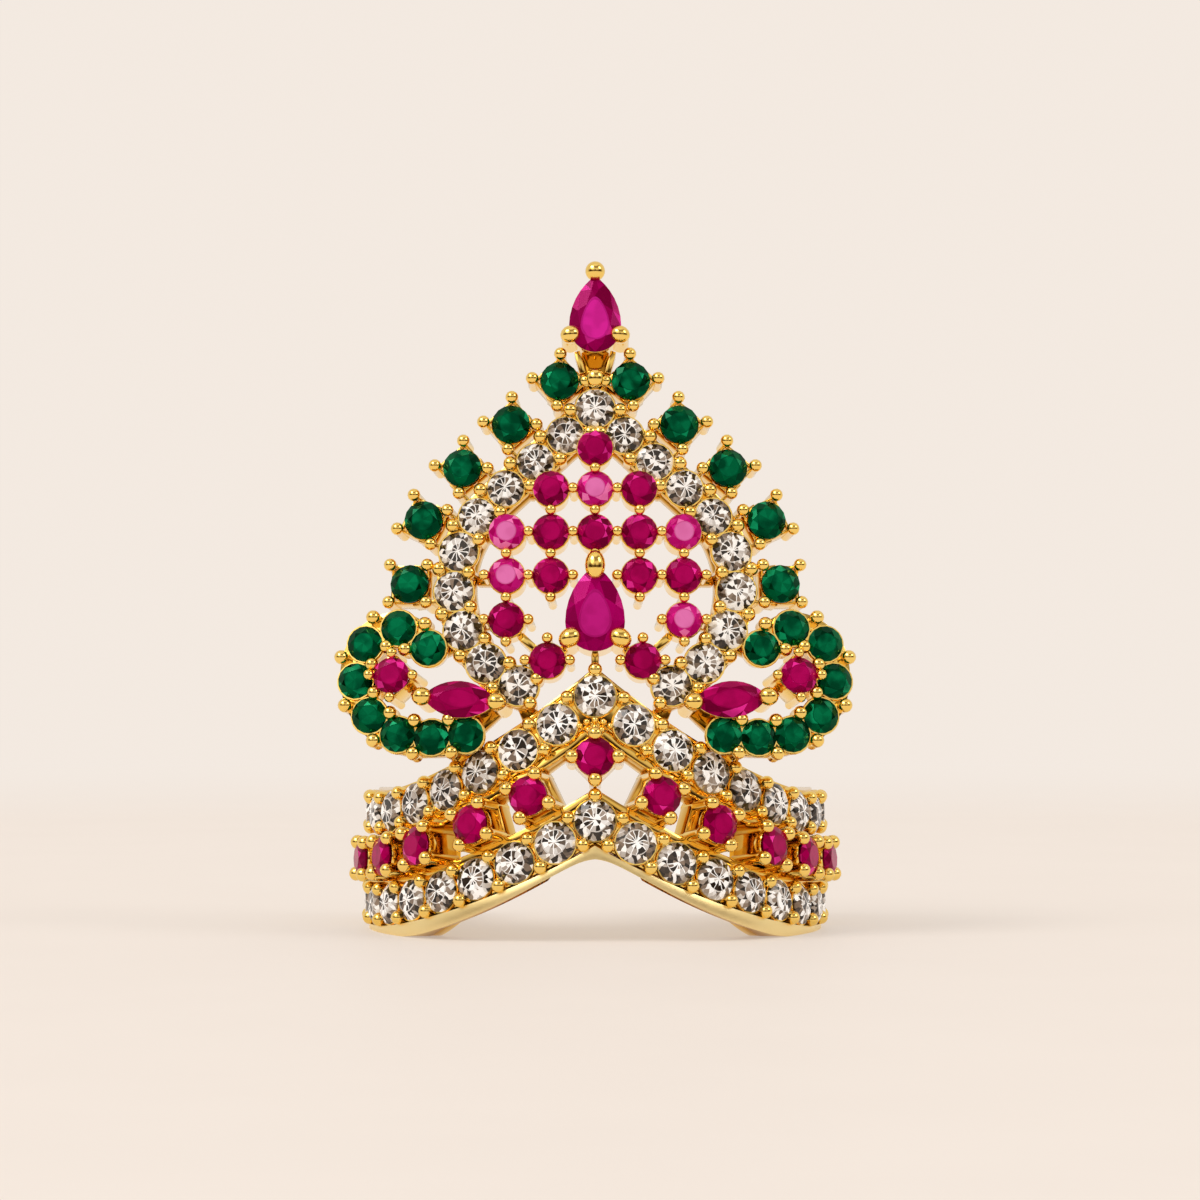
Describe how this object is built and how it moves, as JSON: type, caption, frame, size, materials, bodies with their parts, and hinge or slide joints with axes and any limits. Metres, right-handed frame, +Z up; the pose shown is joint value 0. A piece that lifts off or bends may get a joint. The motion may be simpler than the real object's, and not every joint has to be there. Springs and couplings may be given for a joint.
{
  "type": "deity crown",
  "caption": "Small gilt crown that sits round a statue's head: a C-shaped band of set stones rising to a point, with a leaf-shaped pierced plume and a looped wing at each side",
  "frame": {"origin": "middle of the footprint, on the surface that the lower rim stands on", "axes": "+Z up through the plume's tip, -Y out of the front of the crown, +X to the right as seen from the front, metres"},
  "size_m": [0.039, 0.0278, 0.0516],
  "materials": {
    "gold": "polished gold plate",
    "white_stone": "faceted, clear",
    "ruby_stone": "faceted, deep pink red",
    "emerald_stone": "faceted, deep green"
  },
  "bodies": {
    "root": {"band_ruby_left_1": "ruby_stone", "band_ruby_left_2": "ruby_stone", "band_ruby_left_3": "ruby_stone", "band_ruby_left_4": "ruby_stone", "band_ruby_left_5": "ruby_stone", "band_ruby_middle": "ruby_stone", "band_ruby_right_1": "ruby_stone", "band_ruby_right_2": "ruby_stone", "band_ruby_right_3": "ruby_stone", "band_ruby_right_4": "ruby_stone", "band_ruby_right_5": "ruby_stone", "crown_frame": "gold", "halo_stone_row": "white_stone", "lattice_ruby_1_1": "ruby_stone", "lattice_ruby_2_1": "ruby_stone", "lattice_ruby_2_2": "ruby_stone", "lattice_ruby_2_3": "ruby_stone", "lattice_ruby_3_1": "ruby_stone", "lattice_ruby_3_2": "ruby_stone", "lattice_ruby_3_3": "ruby_stone", "lattice_ruby_3_4": "ruby_stone", "lattice_ruby_3_5": "ruby_stone", "lattice_ruby_4_1": "ruby_stone", "lattice_ruby_4_2": "ruby_stone", "lattice_ruby_4_3": "ruby_stone", "lattice_ruby_4_4": "ruby_stone", "lattice_ruby_5_1": "ruby_stone", "lattice_ruby_5_2": "ruby_stone", "lattice_ruby_6_1": "ruby_stone", "lattice_ruby_6_2": "ruby_stone", "lower_stone_row": "white_stone", "middle_pear": "ruby_stone", "spike_emerald_left_1": "emerald_stone", "spike_emerald_left_2": "emerald_stone", "spike_emerald_left_3": "emerald_stone", "spike_emerald_left_4": "emerald_stone", "spike_emerald_left_5": "emerald_stone", "spike_emerald_right_1": "emerald_stone", "spike_emerald_right_2": "emerald_stone", "spike_emerald_right_3": "emerald_stone", "spike_emerald_right_4": "emerald_stone", "spike_emerald_right_5": "emerald_stone", "top_pear": "ruby_stone", "upper_stone_row": "white_stone", "wing_emerald_row_left": "emerald_stone", "wing_emerald_row_right": "emerald_stone", "wing_marquise_left": "ruby_stone", "wing_marquise_right": "ruby_stone", "wing_ruby_left": "ruby_stone", "wing_ruby_right": "ruby_stone"}
  },
  "joints": []
}
